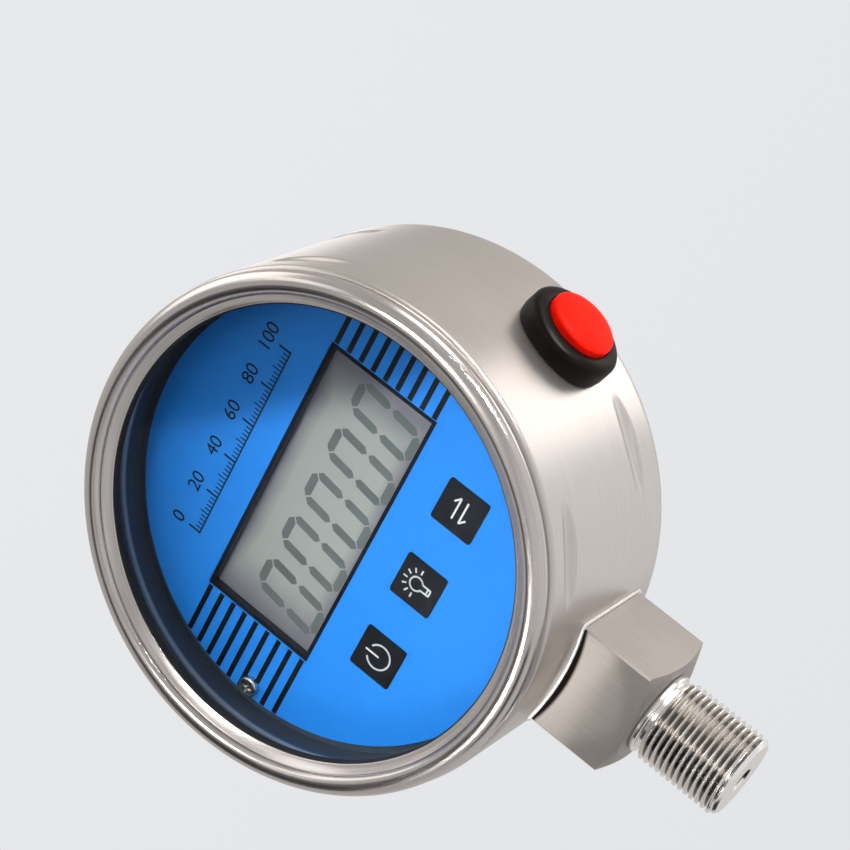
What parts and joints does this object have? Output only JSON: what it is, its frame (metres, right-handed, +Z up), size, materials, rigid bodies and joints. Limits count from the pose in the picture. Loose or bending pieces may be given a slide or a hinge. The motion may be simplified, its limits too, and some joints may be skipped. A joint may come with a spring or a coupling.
{
  "type": "digital pressure gauge",
  "caption": "Round digital pressure gauge: blue display dial with keys behind glass, rolled steel bezel, red side push button and a square connection with a downward threaded stud.",
  "frame": {"origin": "on the stud's axis, where the full thread begins above the tip's chamfer", "axes": "+Z up the stud towards the case, the dial faces -Y, +X to the dial's right as it is read"},
  "size_m": [0.121, 0.0575, 0.1556],
  "materials": {
    "case_steel": "satin brushed round the wall",
    "bezel_steel": "satin, turned",
    "block_steel": "brushed along the faces, bright thread",
    "black_rubber": "matt",
    "clear_glass": "clear, polished",
    "black_moulding": "fine moulded grain",
    "blue_paint": "smooth, semi-gloss",
    "plated_screw": "bright nickel plate",
    "display_glass": "grey-green display",
    "light_guide": "clear white",
    "pink_rubber": "matt",
    "black_key": "satin",
    "grey_plastic": "satin",
    "white_plastic": "satin",
    "green_board": "solder mask",
    "brass": "machined",
    "bare_aluminium": "rolled",
    "cell_jacket": "plain sleeve",
    "black_collar": "satin moulded",
    "red_cap": "smooth moulded",
    "spring_steel": "drawn wire"
  },
  "bodies": {
    "gauge": {"case_shell": "case_steel", "bezel_ring": "bezel_steel", "window_gasket": "black_rubber", "window_glass": "clear_glass", "inner_housing": "black_moulding", "dial_plate": "blue_paint", "dial_screws": "plated_screw", "display_frame": "black_moulding", "display_glass": "display_glass", "display_backlight": "light_guide", "display_strips": "pink_rubber", "key_switches": "black_moulding", "main_board": "green_board", "board_parts": "black_moulding", "board_pillars": "brass", "chassis_plate": "bare_aluminium", "chassis_screws": "plated_screw", "battery_holder": "black_moulding", "battery_cells": "cell_jacket", "battery_contacts": "plated_screw", "holder_screws": "plated_screw", "connection_block": "block_steel", "weld_seam": "block_steel", "pressure_sensor": "bezel_steel", "sensor_seal": "black_rubber", "sensor_ring": "brass", "sensor_ribbon": "grey_plastic", "button_collar": "black_collar", "button_washer": "black_rubber", "button_nut": "plated_screw", "button_base": "black_moulding", "button_lugs": "brass", "button_lead": "black_rubber", "button_spring": "spring_steel"},
    "key_power": {"key_power": "black_key", "plunger_power": "grey_plastic"},
    "key_light": {"key_light": "black_key", "plunger_light": "grey_plastic"},
    "key_unit": {"key_unit": "black_key", "plunger_unit": "grey_plastic"},
    "button": {"button_cap": "red_cap", "button_plunger": "white_plastic", "button_bridge": "brass"}
  },
  "joints": [
    {"name": "key_power_press", "type": "slide", "parent": "gauge", "child": "key_power", "axis": [0, 1, 0], "range_m": [0, 0.0004], "stiffness_N_per_m": 3000, "springref_m": -0.0002},
    {"name": "key_light_press", "type": "slide", "parent": "gauge", "child": "key_light", "axis": [0, 1, 0], "range_m": [0, 0.0004], "stiffness_N_per_m": 3000, "springref_m": -0.0002},
    {"name": "key_unit_press", "type": "slide", "parent": "gauge", "child": "key_unit", "axis": [0, 1, 0], "range_m": [0, 0.0004], "stiffness_N_per_m": 3000, "springref_m": -0.0002},
    {"name": "button_press", "type": "slide", "parent": "gauge", "child": "button", "axis": [-0.9563, 0, 0.2924], "range_m": [0, 0.002], "stiffness_N_per_m": 800, "springref_m": -0.002}
  ]
}
